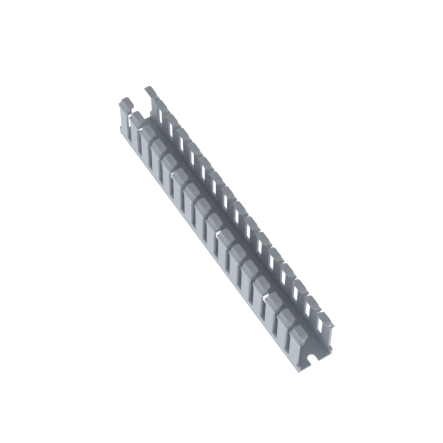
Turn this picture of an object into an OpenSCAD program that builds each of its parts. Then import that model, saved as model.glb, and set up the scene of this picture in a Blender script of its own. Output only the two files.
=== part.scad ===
// Slotted wire duct, base only: one extruded channel with punched fingers.
// X runs along the duct, Y across it and Z up from the mounting face. Sizes in mm.

/* [Duct] */
// Distance from one finger to the next
finger_pitch = 12.5; // [8:0.5:25]
// Fingers in each side wall
finger_count = 16; // [4:4:64]
// Width over the two outer faces
duct_width = 23.6; // [20:0.2:60]
// Height of the outer faces, up to the slope that the cover sits on
face_height = 31.5; // [22:0.5:80]
// Thickness of the floor
floor_thickness = 1.6; // [1:0.1:3]
// Thickness of the side walls
wall_thickness = 1.6; // [1:0.1:3]
// Radius of the two long edges of the mounting face
edge_radius = 0.6; // [0.2:0.1:1.5]

/* [Slots] */
// Width of a slot
slot_width = 4.9; // [4:0.1:10]
// Height of the slot's lower end above the mounting face
slot_bottom = 6.6; // [4:0.2:20]
// Corner radius at the slot's lower end
slot_corner = 0.6; // [0.2:0.1:1.5]
// Gap between two heads, where the slot is narrowest
neck_width = 1.8; // [0.8:0.1:3]
// Height of the straight sides of a finger at the neck
ear_height = 0.4; // [0.2:0.1:4]
// Height over which the slot narrows to the neck
shoulder_height = 3.2; // [1:0.1:5]

/* [Heads] */
// Width of the flat rim on the upper edge of an outer face
rim_width = 0.2; // [0.1:0.1:1]
// Depth of the groove that the cover clips into, from the outer face
groove_depth = 2.4; // [1.4:0.1:4]
// Height of the groove above the outer face
groove_rise = 3.1; // [1:0.1:4]
// Thickness of a head at the groove
groove_wall = 1.2; // [0.8:0.1:3]
// Setback of a head's upper outer edge from the outer face
top_setback = 1.1; // [0.4:0.1:2]
// Height of a head above the outer face
head_rise = 4.7; // [3:0.1:8]
// Reach of a head from the outer face to its inner edge
head_reach = 6.0; // [5:0.1:12]
// Thickness of a head's inward lip where it starts
lip_root = 2.2; // [0.8:0.1:3]
// Thickness of the lip at its inner edge
lip_edge = 0.8; // [0.4:0.1:2]
// How much shorter a head is at each end above the outer face
head_inset = 0.6; // [0.2:0.1:3]
// Length of a head's slanted upper corners, seen from the side
corner_length = 1.9; // [0.4:0.1:3]
// Height of these corners
corner_height = 1.2; // [0.3:0.1:2]

/* [Base holes] */
// Fingers from one base hole to the next
fingers_per_hole = 4; // [2:1:8]
// Width of a base hole
hole_width = 5.2; // [3:0.1:10]
// Length of a base hole, end to end
hole_length = 12.5; // [6:0.5:30]

/* [Output] */
// Node to draw

/* [Hidden] */
plastic = [0.56, 0.58, 0.61];
past = 1;
round_sides = 32;
duct_length = finger_pitch * finger_count;
half_width = duct_width / 2;
total_height = face_height + head_rise;
groove_y = half_width - groove_depth;
web_inner_y = groove_y - groove_wall;
lip_y = half_width - head_reach;
wall_inner_y = half_width - wall_thickness;
jog_bottom = face_height - wall_thickness;
head_end_x = neck_width / 2 + head_inset;
neck_bottom = face_height - ear_height;
shoulder_bottom = neck_bottom - shoulder_height;
hole_count = floor(finger_count / fingers_per_hole) + 1;
hole_pitch = finger_pitch * fingers_per_hole;

// Half of the extruded section: floor, wall, cover groove and the lip above it
module half_section() {
    difference() {
        polygon([
            [0, 0],
            [half_width, 0],
            [half_width, face_height],
            [half_width - rim_width, face_height],
            [groove_y, face_height + groove_rise],
            [half_width - top_setback, total_height],
            [lip_y, total_height],
            [lip_y, total_height - lip_edge],
            [web_inner_y, total_height - lip_root],
            [web_inner_y, jog_bottom],
            [wall_inner_y, jog_bottom],
            [wall_inner_y, floor_thickness],
            [0, floor_thickness]
        ]);
        translate([half_width - edge_radius, edge_radius])
            difference() {
                translate([0, -past - edge_radius])
                    square([edge_radius + past, edge_radius + past]);
                circle(r = edge_radius, $fn = round_sides);
            }
    }
}

// The uncut channel, centred on X
module channel() {
    rotate([90, 0, 90])
        linear_extrude(duct_length, center = true) {
            half_section();
            mirror([1, 0])
                half_section();
        }
}

// Half of what is punched between two fingers, seen from the side
module half_punch() {
    translate([0, slot_bottom + slot_corner])
        square([slot_width / 2, shoulder_bottom - slot_bottom - slot_corner]);
    translate([0, slot_bottom])
        square([slot_width / 2 - slot_corner, slot_corner * 2]);
    translate([slot_width / 2 - slot_corner, slot_bottom + slot_corner])
        circle(r = slot_corner, $fn = round_sides);
    polygon([
        [0, shoulder_bottom],
        [slot_width / 2, shoulder_bottom],
        [neck_width / 2, neck_bottom],
        [neck_width / 2, face_height],
        [head_end_x, face_height],
        [head_end_x, total_height - corner_height],
        [head_end_x + corner_length, total_height],
        [head_end_x + corner_length, total_height + past],
        [0, total_height + past]
    ]);
}

// One punch, through both walls
module punch() {
    rotate([90, 0, 0])
        linear_extrude(duct_width + 2 * past, center = true) {
            half_punch();
            mirror([1, 0])
                half_punch();
        }
}

// One oblong hole in the floor
module base_hole() {
    translate([0, 0, -past])
        linear_extrude(floor_thickness + 2 * past) {
            square([hole_length - hole_width, hole_width], center = true);
            for (side = [-1, 1])
                translate([side * (hole_length - hole_width) / 2, 0])
                    circle(d = hole_width, $fn = round_sides);
        }
}

module wire_duct() {
    color(plastic)
        difference() {
            channel();
            for (i = [0 : finger_count])
                translate([(i - finger_count / 2) * finger_pitch, 0, 0])
                    punch();
            for (i = [0 : hole_count - 1])
                translate([(i - (hole_count - 1) / 2) * hole_pitch, 0, 0])
                    base_hole();
        }
}

wire_duct();
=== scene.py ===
import math
import bmesh
import bpy
import numpy as np
from mathutils import Matrix, Vector


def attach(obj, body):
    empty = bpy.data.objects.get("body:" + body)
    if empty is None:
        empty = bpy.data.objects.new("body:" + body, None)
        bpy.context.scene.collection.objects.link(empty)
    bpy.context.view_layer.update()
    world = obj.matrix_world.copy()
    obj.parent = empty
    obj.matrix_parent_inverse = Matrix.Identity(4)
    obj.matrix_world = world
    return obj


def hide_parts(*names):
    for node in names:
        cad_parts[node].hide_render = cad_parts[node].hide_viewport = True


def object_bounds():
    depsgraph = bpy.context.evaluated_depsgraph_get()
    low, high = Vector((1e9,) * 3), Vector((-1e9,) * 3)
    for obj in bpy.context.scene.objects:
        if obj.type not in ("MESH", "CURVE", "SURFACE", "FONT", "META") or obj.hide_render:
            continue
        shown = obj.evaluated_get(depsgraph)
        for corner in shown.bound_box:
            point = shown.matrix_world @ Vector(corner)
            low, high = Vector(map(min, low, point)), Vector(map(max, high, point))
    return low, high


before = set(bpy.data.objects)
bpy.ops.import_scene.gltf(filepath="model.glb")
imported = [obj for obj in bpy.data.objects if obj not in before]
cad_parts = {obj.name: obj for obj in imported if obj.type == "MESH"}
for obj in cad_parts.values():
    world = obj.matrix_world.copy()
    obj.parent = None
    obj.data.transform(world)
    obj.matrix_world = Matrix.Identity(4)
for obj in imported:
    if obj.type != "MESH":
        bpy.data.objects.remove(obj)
cadLow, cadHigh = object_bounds()
print("frame loaded:", ", ".join(sorted(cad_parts)))

millimetre = 0.001
slack = 1e-6  # mm, for comparing places that are worked out
meshSlack = 1e-3  # mm, for places read back from a mesh, which keeps fewer digits
scene = bpy.context.scene
scene.view_settings.view_transform = "Standard"  # keeps the plain white ground white


def linkToScene(name, data):
    thing = bpy.data.objects.new(name, data)
    scene.collection.objects.link(thing)
    return thing


def addMath(tree, operation, first, second=0.0, third=None):
    node = tree.nodes.new("ShaderNodeMath")
    node.operation = operation
    for socket, value in zip(node.inputs, (first, second, third)):
        if isinstance(value, bpy.types.NodeSocket):
            tree.links.new(value, socket)
        elif value is not None:
            socket.default_value = value
    return node.outputs[0]


# camera, as the duct was photographed: from above, off its near left corner
cameraSettings = {
    "eye": (-0.40991, 0.26580, 0.77930),
    "right": (-0.53674, -0.84373, 0.00562),
    "up": (0.71157, -0.44905, 0.54039),
    "forward": (0.45342, -0.29404, -0.84140),
    "lens": 124.298,  # mm
    "sensor": 36,  # mm across
    "clip": (0.01, 50),  # m
}


def addCamera(s):
    cameraData = bpy.data.cameras.new("camera")
    cameraData.sensor_width = s["sensor"]
    cameraData.lens = s["lens"]
    cameraData.clip_start, cameraData.clip_end = s["clip"]
    camera = linkToScene("camera", cameraData)
    columns = [Vector(s["right"]), Vector(s["up"]), -Vector(s["forward"])]
    turned = Matrix([c.normalized() for c in columns]).transposed().to_4x4()
    camera.matrix_world = Matrix.Translation(s["eye"]) @ turned
    scene.camera = camera


addCamera(cameraSettings)
print("camera placed")

# light: the pale ground glows and gives most of it, the white room and a soft key the rest
lightSettings = {
    "travel": (0.22, -0.30, -0.105),  # direction that the soft key goes
    "strength": 0.35,
    "spread": 60,  # degrees
    "room": 0.59,
    "seenRoom": 1.0,  # what the camera sees of the room, so that no horizon shows from low down
}


def addLights(s):
    sun = bpy.data.lights.new("softKey", "SUN")
    sun.energy = s["strength"]
    sun.angle = math.radians(s["spread"])
    key = linkToScene("softKey", sun)
    key.rotation_euler = Vector(s["travel"]).to_track_quat("-Z", "Y").to_euler()
    room = bpy.data.worlds.new("whiteRoom")
    room.use_nodes = True
    tree = room.node_tree
    walls = tree.nodes["Background"]
    walls.inputs["Color"].default_value = (1, 1, 1, 1)
    seen = tree.nodes.new("ShaderNodeLightPath").outputs["Is Camera Ray"]
    strength = addMath(tree, "MULTIPLY_ADD", seen, s["seenRoom"] - s["room"], s["room"])
    tree.links.new(strength, walls.inputs["Strength"])
    scene.world = room


addLights(lightSettings)

groundSettings = {
    "size": 40,  # m
    "colour": (0.9, 0.9, 0.9, 1),
    "roughness": 0.9,
    "glow": 1.03,
    "coveredGlow": 0.54,  # under the duct
    "seenGlow": 0.70,  # what the camera sees of the glow, just enough for white
}


def addGround(s):
    # A square in the plane z = 0. The duct covers it where |x| and |y| lie within the duct's box.
    half = s["size"] / 2
    corners = [(-half, -half, 0), (half, -half, 0), (half, half, 0), (-half, half, 0)]
    mesh = bpy.data.meshes.new("ground")
    mesh.from_pydata(corners, [], [(0, 1, 2, 3)])
    ground = linkToScene("ground", mesh)
    material = bpy.data.materials.new("paleGround")
    material.use_nodes = True
    tree = material.node_tree
    shader = tree.nodes["Principled BSDF"]
    shader.inputs["Base Color"].default_value = s["colour"]
    shader.inputs["Roughness"].default_value = s["roughness"]
    shader.inputs["Emission Color"].default_value = (1, 1, 1, 1)
    place = tree.nodes.new("ShaderNodeSeparateXYZ")
    tree.links.new(tree.nodes.new("ShaderNodeTexCoord").outputs["Object"], place.inputs[0])
    away = [addMath(tree, "ABSOLUTE", place.outputs[axis]) for axis in (0, 1)]
    within = [addMath(tree, "LESS_THAN", away[axis], cadHigh[axis]) for axis in (0, 1)]
    covered = addMath(tree, "MULTIPLY", *within)
    glow = addMath(tree, "MULTIPLY_ADD", covered, s["coveredGlow"] - s["glow"], s["glow"])
    seen = tree.nodes.new("ShaderNodeLightPath").outputs["Is Camera Ray"]
    unseenGlow = addMath(tree, "MULTIPLY", glow, addMath(tree, "SUBTRACT", 1.0, seen))
    strength = addMath(tree, "MULTIPLY_ADD", seen, s["seenGlow"], unseenGlow)
    tree.links.new(strength, shader.inputs["Emission Strength"])
    mesh.materials.append(material)


addGround(groundSettings)
print("ground and lights ready")

# the duct's shape, in mm
duct = {
    "fingerPitch": 12.5,
    "fingerCount": 16,
    "width": 23.6,
    "faceHeight": 31.5,
    "thickness": 1.6,  # floor and walls
    "edgeRadius": 0.6,  # the base's two long edges
    "slotWidth": 4.9,
    "slotBottom": 6.6,
    "slotCorner": 0.6,
    "neckWidth": 1.8,
    "earHeight": 0.4,
    "shoulderHeight": 3.2,
    "rimWidth": 0.2,
    "grooveDepth": 2.4,
    "grooveRise": 3.1,
    "grooveWall": 1.2,
    "topSetback": 1.1,
    "headRise": 4.7,
    "headReach": 6.0,
    "lipRoot": 2.2,
    "lipEdge": 0.8,
    "headInset": 0.6,
    "cornerLength": 1.9,
    "cornerHeight": 1.2,
    "fingersPerHole": 4,
    "holeWidth": 5.2,
    "holeLength": 12.5,
    "ridgeRadius": 0.5,  # of the heads' upper outer edges
    "rounding": 0.12,  # of every other outer edge
    "foldLeast": 25,  # degrees; a flatter fold isn't rounded
    "leanMost": 0.12,  # how far a finger's top leans inward
    "leanSeed": 7,
    "mergeWithin": 0.0001,
    # how finely the grid and the round edges are divided
    "cornerSteps": 3,
    "slotSteps": 3,
    "holeSteps": 3,  # across half a base hole
    "holeEndSteps": 6,  # from the start of its round end to the finger's middle
    "longEdgeSegments": 5,
    "outerEdgeSegments": 3,
}


def pressRound(a, b, centreA, centreB, radius):
    # A square pressed to a disc: each point keeps its direction from the centre, and its distance
    # becomes the larger of its two offsets, so the square's sides come to lie on the circle.
    da, db = a - centreA, b - centreB
    larger = np.maximum(np.abs(da), np.abs(db))
    scale = np.where(larger > 0, larger / np.maximum(np.hypot(da, db), slack), 1.0)
    inside = larger <= radius + slack
    return np.where(inside, centreA + da * scale, a), np.where(inside, centreB + db * scale, b)


def ductSurface(d):
    # The duct on a block grid: lines across (x), over the section (y) and up (z), moved on to the
    # extruded section and the punched outline. A face stands between a filled and an empty block.
    steps = d["cornerSteps"]
    half = d["width"] / 2
    rim = half - d["rimWidth"]
    webInner = half - d["grooveDepth"] - d["grooveWall"]
    lip = half - d["headReach"]
    wallInner = half - d["thickness"]
    face = d["faceHeight"]
    grooveTop = face + d["grooveRise"]
    top = face + d["headRise"]
    lipFoot = top - d["lipRoot"]
    cornerFoot = top - d["cornerHeight"]
    jog = face - d["thickness"]
    neckBottom = face - d["earHeight"]
    shoulder = neckBottom - d["shoulderHeight"]
    slotHalf, neckHalf, holeHalf = d["slotWidth"] / 2, d["neckWidth"] / 2, d["holeWidth"] / 2
    halfPitch = d["fingerPitch"] / 2
    holeStraight = d["holeLength"] / 2 - holeHalf
    cornerX, cornerZ = slotHalf - d["slotCorner"], d["slotBottom"] + d["slotCorner"]  # its centre

    # x lines: offsets from a slot's middle to the next finger's middle, the same on both sides of it
    offsets = np.concatenate([
        [0],
        np.linspace(cornerX, slotHalf, steps + 1),
        [slotHalf + d["headInset"]],
        np.linspace(holeStraight, halfPitch, d["holeEndSteps"] + 1),
    ])
    slotLine, headLine = steps + 1, steps + 2
    perHalf = len(offsets) - 1
    line = np.arange(2 * perHalf * d["fingerCount"] + 1)
    local = (line + perHalf) % (2 * perHalf) - perHalf  # lines from the nearest slot, signed
    slot = (line - local) // (2 * perHalf)

    # y lines: one more stands where the lip's slanted underside passes the foot of the head's corners
    underside = ([lip, webInner], [top - d["lipEdge"], lipFoot])
    passing = np.interp(-cornerFoot, -np.array(underside[1]), underside[0])
    overHole = np.linspace(0, holeHalf, d["holeSteps"] + 1)
    halfY = np.concatenate([overHole, [lip, passing, webInner, wallInner, rim, half]])
    lineY = np.concatenate([-halfY[:0:-1], halfY])

    # z rows: level up to the outer face's height, and above it on the lip's underside and the head
    lowRows = np.concatenate([
        [0, d["thickness"]],
        np.linspace(d["slotBottom"], cornerZ, steps + 1),
        np.linspace(cornerZ, shoulder, d["slotSteps"] + 1)[1:],
        [jog, neckBottom, face],
    ])
    under = np.interp(np.abs(lineY), *underside)[:, None]
    foot = np.maximum(under, cornerFoot)
    groove = under + (grooveTop - lipFoot) / (cornerFoot - lipFoot) * (foot - under)
    headRows = [under, groove, foot, (foot + top) / 2, top + 0 * foot]
    rowsZ = np.concatenate([np.repeat(lowRows[None], len(lineY), 0)] + headRows, 1)

    # where the lines cross: the head's outer side over the groove, and, for the base's round edge,
    # the rim's line further in at the bottom, so that the edge has room
    z = np.repeat(rowsZ[None], len(line), 0)
    y = np.broadcast_to(np.abs(lineY)[None, :, None], z.shape)
    side = np.where(lineY < 0, -1, 1)[None, :, None]
    setbacks = [d["rimWidth"], d["grooveDepth"], d["topSetback"]]
    outline = half - np.interp(z, [face, grooveTop, top], setbacks)
    squeeze = (outline - webInner) / (rim - webInner)
    inHead = (z > face - slack) & (y > webInner) & (y <= rim)
    y = np.where(inHead, webInner + (y - webInner) * squeeze, y)
    y = np.where((z < slack) & (np.abs(y - rim) < slack), half - 2 * d["edgeRadius"], y)

    # along x: the slot's edge and the head's ends
    lines = np.abs(local)[:, None, None]
    away = offsets[lines] + 0 * z
    slotEdge = np.interp(z, [shoulder, neckBottom], [slotHalf, neckHalf])
    headEdge = slotEdge + d["headInset"] + np.interp(z, [cornerFoot, top], [0, d["cornerLength"]])
    away = np.where(lines == slotLine, slotEdge, away)
    away = np.where(lines == headLine, headEdge, away)

    # two kinds of round corner: the slots' lower ends and the base holes' ends
    roundX, roundZ = pressRound(away, z, cornerX, cornerZ, d["slotCorner"])
    inCorner = (away > cornerX - slack) & (z < cornerZ + slack) & (z > d["slotBottom"] - slack)
    away, z = np.where(inCorner, roundX, away), np.where(inCorner, roundZ, z)
    roundX, roundY = pressRound(away, y, holeStraight, 0, holeHalf)
    holeAbove = (slot % d["fingersPerHole"] == 0)[:, None, None]
    # a finger's middle line is counted to the slot above it in x, so the hole below it reaches it
    # from behind
    holeBelow = (((slot - 1) % d["fingersPerHole"] == 0) & (local == -perHalf))[:, None, None]
    inEnd = (away > holeStraight - slack) & (z < d["thickness"] + slack)
    fromBehind = np.where(inEnd & holeBelow, d["fingerPitch"] - roundX, away)
    away = np.where(inEnd & holeAbove, roundX, fromBehind)
    y = np.where(inEnd & (holeAbove | holeBelow), roundY, y)
    slotX = (slot - d["fingerCount"] / 2)[:, None, None] * d["fingerPitch"]
    x = slotX + np.sign(local)[:, None, None] * away

    # each finger leans inward a little, by the square of its height above the slots' lower ends
    random = np.random.default_rng(d["leanSeed"])
    lean = random.uniform(0, d["leanMost"], (d["fingerCount"], 2))
    finger = np.minimum(line // (2 * perHalf), d["fingerCount"] - 1)[:, None, None]
    reach = np.clip((z - d["slotBottom"]) / (top - d["slotBottom"]), 0, 1) ** 2
    y = side * (y - reach * lean[finger, (side + 1) // 2])

    # the uncut section, block by block, and then what the punch takes out of it
    midY = (np.abs(lineY[:-1] + lineY[1:]) / 2)[:, None]
    midZ = (rowsZ[:-1, :-1] + rowsZ[:-1, 1:] + rowsZ[1:, :-1] + rowsZ[1:, 1:]) / 4
    row = np.arange(rowsZ.shape[1] - 1)[None]
    aboveFace, aboveUnder = row >= len(lowRows) - 1, row >= len(lowRows)
    section = midZ < d["thickness"]
    section = section | ((midY > wallInner) & (midZ < face))
    section = section | ((midY > webInner) & (midY < rim) & (midZ > jog))
    section = section | ((midY > lip) & (midY < rim) & aboveUnder)
    uncut = np.broadcast_to(section[None], (len(line) - 1,) + section.shape)
    fromSlot = np.minimum(np.abs(local[:-1]), np.abs(local[1:]))[:, None, None]
    punched = (fromSlot < slotLine) & (midZ > d["slotBottom"])[None]
    punched = punched | ((fromSlot < headLine) & aboveFace[None])
    blockSlot = np.where(np.abs(local[:-1]) < perHalf, slot[:-1], slot[1:])[:, None, None]
    underHole = (midY < holeHalf) & (midZ < d["thickness"])
    holed = (blockSlot % d["fingersPerHole"] == 0) & underHole[None]
    filled = uncut & ~punched & ~holed
    points = np.stack([x, y, z], -1).reshape(-1, 3) * millimetre
    return points, x.shape, filled, uncut


def skinOfBlocks(shape, filled, uncut):
    # Corner numbers of each outer face, anticlockwise from outside, and whether a cut made the face:
    # a filled block has a face towards each empty neighbour, and a cut made it where the uncut
    # duct goes on there, or at the duct's two ends.
    around, aroundUncut = np.pad(filled, 1), np.pad(uncut, 1)
    unit = np.eye(3, dtype=int)
    faces, cuts = [], []
    for axis in range(3):
        first, second = unit[(axis + 1) % 3], unit[(axis + 2) % 3]
        for step in (1, -1):
            towards = 1 + unit[axis] * step  # 1 for the padding, and a step to the neighbour
            window = tuple(slice(begin, begin + n) for begin, n in zip(towards, filled.shape))
            block = np.argwhere(filled & ~around[window])
            corner = block + unit[axis] * (step > 0)
            ring = np.stack([corner, corner + first, corner + first + second, corner + second], 1)
            faces.append(ring if step > 0 else ring[:, ::-1])
            beyond = block + towards
            atEnd = (beyond[:, 0] == 0) | (beyond[:, 0] == around.shape[0] - 1)
            cuts.append(aroundUncut[tuple(beyond.T)] | ((axis == 0) & atEnd))
    faces = np.concatenate(faces)
    return np.ravel_multi_index(tuple(np.moveaxis(faces, -1, 0)), shape), np.concatenate(cuts)


def edgeFolds(mesh):
    # For each edge: the angle between its two faces' normals, and whether it stands out, which it
    # does where the second face's middle lies below the first face's plane
    count = len(mesh.polygons)
    loopEdges, totals = np.empty(len(mesh.loops), np.int32), np.empty(count, np.int32)
    normals, centres = np.empty(3 * count), np.empty(3 * count)
    mesh.loops.foreach_get("edge_index", loopEdges)
    mesh.polygons.foreach_get("loop_total", totals)
    mesh.polygons.foreach_get("normal", normals)
    mesh.polygons.foreach_get("center", centres)
    normals, centres = normals.reshape(-1, 3), centres.reshape(-1, 3)
    owner = np.repeat(np.arange(count), totals)
    pair = owner[np.argsort(loopEdges, kind="stable")].reshape(-1, 2)  # a closed skin has two each
    turn = np.arccos(np.clip((normals[pair[:, 0]] * normals[pair[:, 1]]).sum(1), -1, 1))
    outward = ((centres[pair[:, 1]] - centres[pair[:, 0]]) * normals[pair[:, 0]]).sum(1) < 0
    return turn, outward


def buildDuct(d):
    points, shape, filled, uncut = ductSurface(d)
    faces, cuts = skinOfBlocks(shape, filled, uncut)
    used, renumbered = np.unique(faces, return_inverse=True)
    mesh = bpy.data.meshes.new("ductShell")
    mesh.from_pydata(points[used].tolist(), [], renumbered.reshape(-1, 4).tolist())
    mesh.polygons.foreach_set("material_index", cuts.astype(np.int32))  # 0 drawn, 1 punched
    mesh.polygons.foreach_set("use_smooth", np.ones(len(faces), bool))
    closing = bmesh.new()  # closes the flattened blocks in the lip
    closing.from_mesh(mesh)
    bmesh.ops.remove_doubles(closing, verts=closing.verts, dist=d["mergeWithin"] * millimetre)
    closing.to_mesh(mesh)
    closing.free()

    # which edges get round: the base's long ones, the heads' ridges, and every fold that stands out
    turn, outward = edgeFolds(mesh)
    places, ends = np.empty(3 * len(mesh.vertices)), np.empty(2 * len(mesh.edges), np.int32)
    mesh.vertices.foreach_get("co", places)
    mesh.edges.foreach_get("vertices", ends)
    places, ends = places.reshape(-1, 3) / millimetre, ends.reshape(-1, 2)
    away, height = np.abs(places[:, 1]), places[:, 2]
    half, top = d["width"] / 2, d["faceHeight"] + d["headRise"]
    ridge = half - d["topSetback"] - d["leanMost"]
    atBase = (height < meshSlack) & (away > half - meshSlack)
    atRidge = (height > top - meshSlack) & (away > ridge - meshSlack)
    longEdge = atBase[ends].all(1)
    fold = turn > math.radians(d["foldLeast"])
    share = np.where(atRidge[ends].all(1), 1.0, d["rounding"] / d["ridgeRadius"])
    outerEdge = share * (fold & outward & ~longEdge)
    for name, weight in (("longEdge", longEdge), ("outerEdge", outerEdge)):
        attribute = mesh.attributes.new(name, "FLOAT", "EDGE")
        attribute.data.foreach_set("value", weight.astype(np.float32))
    sharp = mesh.attributes.new("sharp_edge", "BOOLEAN", "EDGE")
    sharp.data.foreach_set("value", fold & ~outward)

    shell = linkToScene("ductShell", mesh)
    bevels = (
        ("longEdge", d["edgeRadius"], d["longEdgeSegments"], -1),  # keeps each face's own finish
        ("outerEdge", d["ridgeRadius"], d["outerEdgeSegments"], 2),  # gets the edge finish, with its painted highlight
    )
    for name, radius, segments, finish in bevels:
        bevel = shell.modifiers.new(name, "BEVEL")
        bevel.width = radius * millimetre
        bevel.segments = segments
        bevel.limit_method = "WEIGHT"
        bevel.edge_weight = name
        bevel.use_clamp_overlap = False
        bevel.harden_normals = True
        bevel.material = finish
    return shell


shell = buildDuct(duct)
print("duct surface:", len(shell.data.vertices), "points,", len(shell.data.polygons), "faces")

# finishes: one plastic, as it left the die, as the punch cut it, and on its outer edges, which are
# painted lighter as a highlight
plastic = {
    "colour": (0.350, 0.384, 0.426),
    "specular": 0.35,
    "shadeRange": 0.09,  # how far each pattern takes the lightness up or down
    "roughnessRange": 0.10,
    "lineDepth": 0.01,  # mm
    "drawn": {"lift": 1.0, "roughness": 0.52, "lines": 1.0, "marks": 0.0, "paintedHighlight": 0.0},
    "punched": {"lift": 1.04, "roughness": 0.64, "lines": 0.0, "marks": 1.0, "paintedHighlight": 0.0},
    # the outer edges' finish is painted lighter, a painted highlight, and takes the ridges' painted
    # highlight too
    "edge": {"lift": 1.12, "roughness": 0.42, "lines": 0.3, "marks": 0.3, "paintedHighlight": 0.45},
    # patterns, in waves a metre along x, y and z
    "fineLines": (9, 3200, 3200),
    "broadLines": (3, 520, 520),
    "clouds": (28, 60, 60),
    "mottle": (900, 900, 900),
    "glossClouds": (70, 160, 160),
    "punchMarks": (2400, 260, 2400),
    "highlightPatches": (700, 200, 200),
    "fineShare": 0.6,  # of fine lines against broad ones
    "mottleShare": 0.3,  # of mottle against clouds
    "highlightStart": 0.8,  # mm before the ridge, where its painted highlight starts
    "highlightFull": 0.4,  # mm before the ridge, where it is full
    "patchLeast": 0.6,  # painted highlight where its noise is 0
    "patchRange": 0.8,  # what the noise adds to it
}


def addGroup(name, *outputs):
    # Takes a place on the duct and a strength, and puts out numbers that change over the surface
    group = bpy.data.node_groups.new(name, "ShaderNodeTree")
    group.interface.new_socket("Place", in_out="INPUT", socket_type="NodeSocketVector")
    group.interface.new_socket("Strength", in_out="INPUT", socket_type="NodeSocketFloat")
    for output in outputs:
        group.interface.new_socket(output, in_out="OUTPUT", socket_type="NodeSocketFloat")
    return group, group.nodes.new("NodeGroupInput"), group.nodes.new("NodeGroupOutput")


def addNoise(tree, place, stretch, detail=3.0, roughness=0.6):
    scale = tree.nodes.new("ShaderNodeMapping")
    scale.inputs["Scale"].default_value = stretch
    tree.links.new(place, scale.inputs["Vector"])
    noise = tree.nodes.new("ShaderNodeTexNoise")
    noise.inputs["Scale"].default_value = 1
    noise.inputs["Detail"].default_value = detail
    noise.inputs["Roughness"].default_value = roughness
    tree.links.new(scale.outputs[0], noise.inputs["Vector"])
    return noise.outputs["Fac"]


def mixNoise(tree, first, second, share):
    rest = addMath(tree, "MULTIPLY", second, 1 - share)
    return addMath(tree, "MULTIPLY_ADD", first, share, rest)


def putOut(group, start, end, output, value, middle=None):
    # The value, less its middle where one is given, times the group's strength
    if middle is not None:
        value = addMath(group, "SUBTRACT", value, middle)
    value = addMath(group, "MULTIPLY", value, start.outputs["Strength"])
    group.links.new(value, end.inputs[output])


def makeDrawLines(p):
    # Lines that the die leaves along the duct: noise stretched far along x, fine over y and z
    group, start, end = addGroup("drawLines", "Shade", "Height")
    fine = addNoise(group, start.outputs["Place"], p["fineLines"])
    broad = addNoise(group, start.outputs["Place"], p["broadLines"], detail=1.0)
    putOut(group, start, end, "Shade", mixNoise(group, fine, broad, p["fineShare"]), middle=0.5)
    putOut(group, start, end, "Height", fine)
    return group


def makeClouding(p):
    # Slow drift of tone and gloss from the compound, with a fine mottle on the tone
    group, start, end = addGroup("clouding", "Shade", "Gloss")
    slow = addNoise(group, start.outputs["Place"], p["clouds"], detail=2.0)
    mottle = addNoise(group, start.outputs["Place"], p["mottle"], detail=2.0)
    gloss = addNoise(group, start.outputs["Place"], p["glossClouds"])
    putOut(group, start, end, "Shade", mixNoise(group, mottle, slow, p["mottleShare"]), middle=0.5)
    putOut(group, start, end, "Gloss", gloss, middle=0.5)
    return group


def makeShearMarks(p):
    # Marks of the punch, which run through the wall: noise stretched along y
    group, start, end = addGroup("shearMarks", "Shade", "Height")
    place = start.outputs["Place"]
    marks = addNoise(group, place, p["punchMarks"], detail=4.0, roughness=0.7)
    putOut(group, start, end, "Shade", marks, middle=0.5)
    putOut(group, start, end, "Height", marks)
    return group


def makeRidgeHighlight(p, d):
    # A painted highlight on the heads' upper outer edges: a ramp over |y| times a ramp over z,
    # # with noise along the edge
    group, start, end = addGroup("ridgeHighlight", "Shade")
    parts = group.nodes.new("ShaderNodeSeparateXYZ")
    group.links.new(start.outputs["Place"], parts.inputs[0])
    away = addMath(group, "ABSOLUTE", parts.outputs["Y"])
    ridge, top = d["width"] / 2 - d["topSetback"], d["faceHeight"] + d["headRise"]
    ramps = []
    for value, edge in ((away, ridge), (parts.outputs["Z"], top)):
        ramp = group.nodes.new("ShaderNodeMapRange")
        ramp.inputs["From Min"].default_value = (edge - p["highlightStart"]) * millimetre
        ramp.inputs["From Max"].default_value = (edge - p["highlightFull"]) * millimetre
        group.links.new(value, ramp.inputs["Value"])
        ramps.append(ramp.outputs[0])
    noise = addNoise(group, start.outputs["Place"], p["highlightPatches"], detail=2.0)
    patchy = addMath(group, "MULTIPLY_ADD", noise, p["patchRange"], p["patchLeast"])
    paintedHighlight = addMath(group, "MULTIPLY", addMath(group, "MULTIPLY", *ramps), patchy)
    putOut(group, start, end, "Shade", paintedHighlight)
    return group


drawLines, clouding = makeDrawLines(plastic), makeClouding(plastic)
shearMarks, ridgeHighlight = makeShearMarks(plastic), makeRidgeHighlight(plastic, duct)


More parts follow.
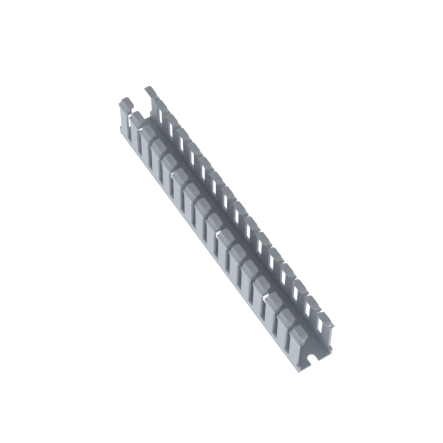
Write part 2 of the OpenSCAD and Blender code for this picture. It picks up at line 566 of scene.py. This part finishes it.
def placeGroup(tree, group, place, strength):
    node = tree.nodes.new("ShaderNodeGroup")
    node.node_tree = group
    node.inputs["Strength"].default_value = strength
    tree.links.new(place, node.inputs["Place"])
    return node


def makePlastic(name, p, finish):
    material = bpy.data.materials.new(name)
    material.use_nodes = True
    tree = material.node_tree
    shader = tree.nodes["Principled BSDF"]
    shader.inputs["Specular IOR Level"].default_value = p["specular"]
    place = tree.nodes.new("ShaderNodeTexCoord").outputs["Object"]
    cloud = placeGroup(tree, clouding, place, 1.0)
    line = placeGroup(tree, drawLines, place, finish["lines"])
    mark = placeGroup(tree, shearMarks, place, finish["marks"])

    # the patterns go from -0.5 to 0.5, so each range is doubled
    shade = addMath(tree, "ADD", line.outputs["Shade"], mark.outputs["Shade"])
    shade = addMath(tree, "ADD", cloud.outputs["Shade"], shade)
    # each finish's lift sets its lightness; the edge finish's higher lift is a painted highlight
    lightness = addMath(tree, "MULTIPLY_ADD", shade, 2 * p["shadeRange"], finish["lift"])
    # the heads' ridges get a painted highlight added to their lightness
    if finish["paintedHighlight"]:
        highlitRidge = placeGroup(tree, ridgeHighlight, place, finish["paintedHighlight"])
        lightness = addMath(tree, "ADD", lightness, highlitRidge.outputs["Shade"])
    colour = tree.nodes.new("ShaderNodeVectorMath")
    colour.operation = "SCALE"
    colour.inputs[0].default_value = p["colour"]
    tree.links.new(lightness, colour.inputs["Scale"])
    tree.links.new(colour.outputs[0], shader.inputs["Base Color"])
    gloss = addMath(tree, "ADD", cloud.outputs["Gloss"], line.outputs["Shade"])
    roughness = addMath(tree, "MULTIPLY_ADD", gloss, 2 * p["roughnessRange"], finish["roughness"])
    tree.links.new(roughness, shader.inputs["Roughness"])

    bump = tree.nodes.new("ShaderNodeBump")
    bump.inputs["Distance"].default_value = p["lineDepth"] * millimetre
    height = addMath(tree, "ADD", line.outputs["Height"], mark.outputs["Height"])
    tree.links.new(height, bump.inputs["Height"])
    tree.links.new(bump.outputs["Normal"], shader.inputs["Normal"])
    return material


for kind in ("drawn", "punched", "edge"):  # 0, 1 and 2 in the faces' material numbers
    shell.data.materials.append(makePlastic(kind + "Plastic", plastic, plastic[kind]))
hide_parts("wire_duct")
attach(shell, "root")
print("finishes placed:", ", ".join(m.name for m in shell.data.materials))
